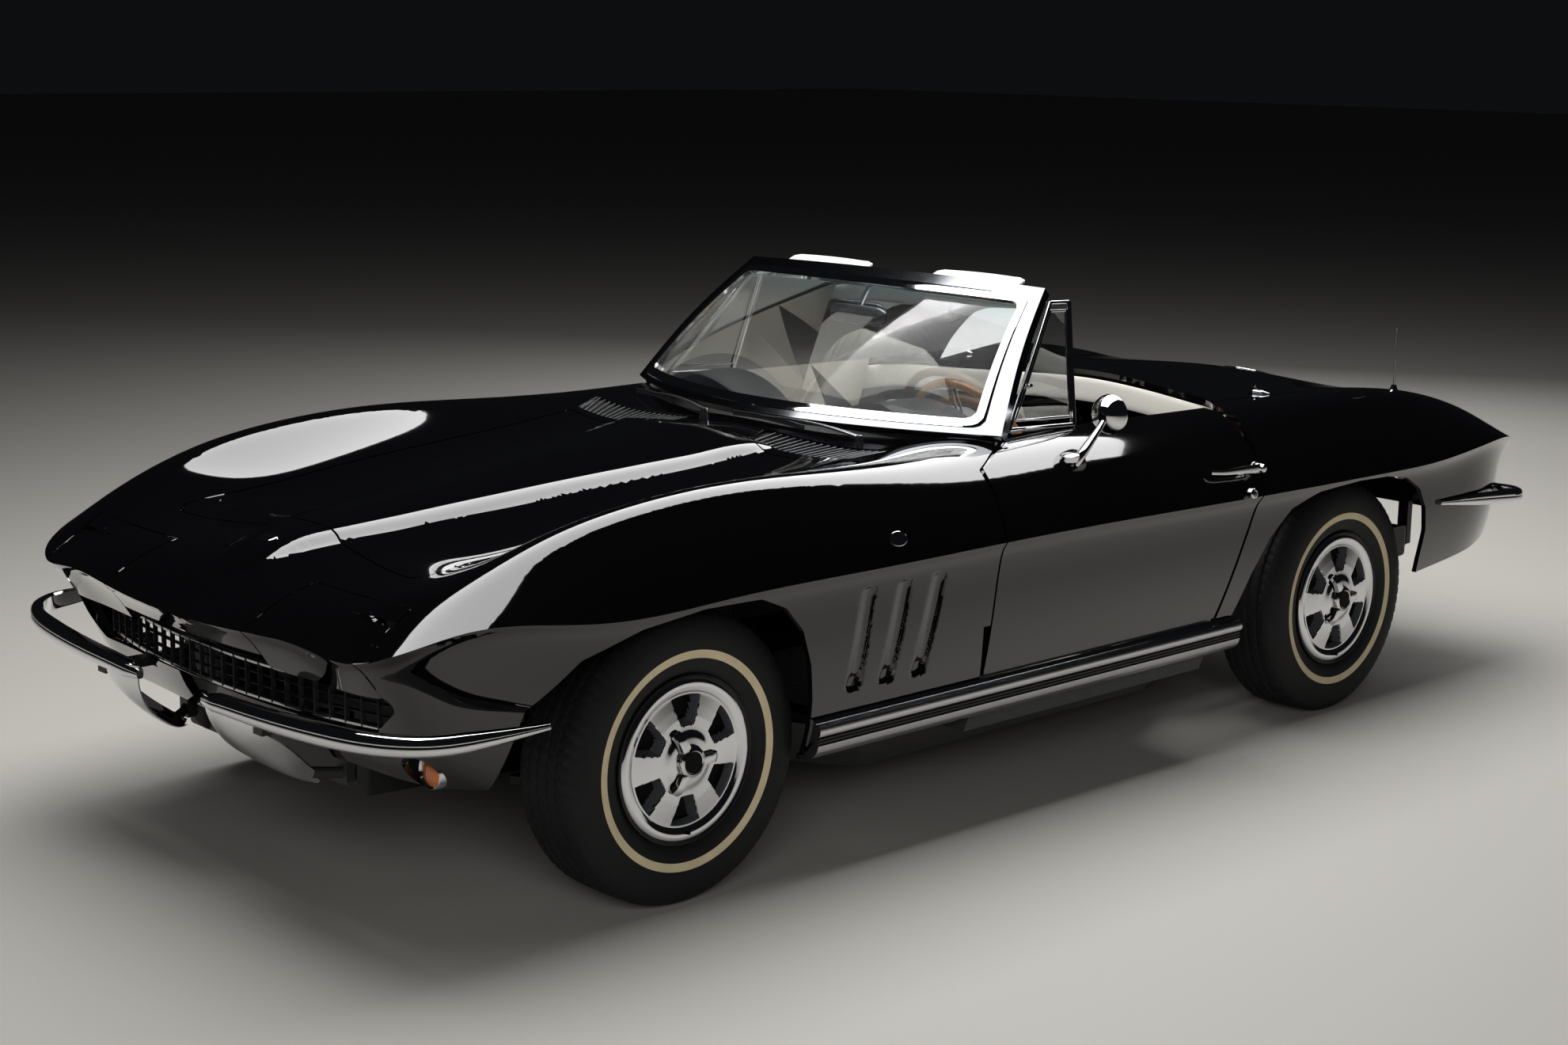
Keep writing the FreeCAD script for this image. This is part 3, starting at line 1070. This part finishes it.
for place, axle_y, plane in (("front", front_axle_y, wheel_plane_front), ("rear", rear_axle_y, wheel_plane_rear)):
    for name, side in (("left", 1), ("right", -1)):
        save("tyre_" + place + "_" + name, tyre_at(plane, axle_y, side))
        save("wheel_" + place + "_" + name, wheel_at(plane, axle_y, side))

# Vent windows: a slanted frame and pane on each door, ahead of the door glass
vent_low, vent_top = [(655, -196, 945), (700, 72, 922)], (590, 118, 1236)
frame_bar = 7
vent_a, vent_b, vent_c = V(668, -190, 932), V(668, 64, 926), V(586, 112, 1234)
vent_bars = [bar([vent_a, vent_b], 7, 7), bar([vent_b, vent_c], 7, 7), bar([vent_a, vent_c], 7, 7),
             Part.makeSphere(8, vent_a), Part.makeSphere(8, vent_b), Part.makeSphere(8, vent_c)]
pane = Part.Face(Part.makePolygon([vent_a, vent_b, vent_c, vent_a])).extrude(V(4, 0, 1))
vent_window = vent_bars[0].multiFuse(vent_bars[1:] + [pane]).cut(body_solid(-.3))
save("vent_window_left", vent_window)
save("vent_window_right", mirrored(vent_window))

# Door fittings: the handle and its lock, and the round mirror on the driver's door
side_skin = body_solid(-.3)
handle_z = 786
handle = bar([V(812, 398, handle_z + 4), V(846, 430, handle_z + 3), V(852, 520, handle_z), V(850, 570, handle_z - 2),
              V(836, 612, handle_z - 5)], [5, 7, 7, 8, 10], [7, 9, 10, 11, 12])
lock = rod(V(800, 557, 721), V(883, 557, 721), 14)
mirror_base = V(792, -66, 850)
mirror_arm = bar([V(762, -66, 862), V(800, -60, 885), V(806, -30, 915), V(796, 10, 945), V(790, 36, 966)],
                 [16, 12, 9, 8, 8], [22, 14, 9, 8, 8])
mirror_disc = rod(V(790, 25, 974), V(790, 62, 976), 34, 52)
fittings_left = Part.makeCompound([handle.cut(side_skin), lock.cut(side_skin), mirror_arm.fuse(mirror_disc).cut(side_skin)])
fittings_left = Part.makeCompound([x for x in fittings_left.Solids if x.Volume > 1e3])
fittings_right = Part.makeCompound([mirrored(handle.cut(side_skin)), mirrored(lock.cut(side_skin))])
fittings_right = Part.makeCompound([x for x in fittings_right.Solids if x.Volume > 1e3])
save("door_fittings_left", fittings_left)
save("door_fittings_right", fittings_right)
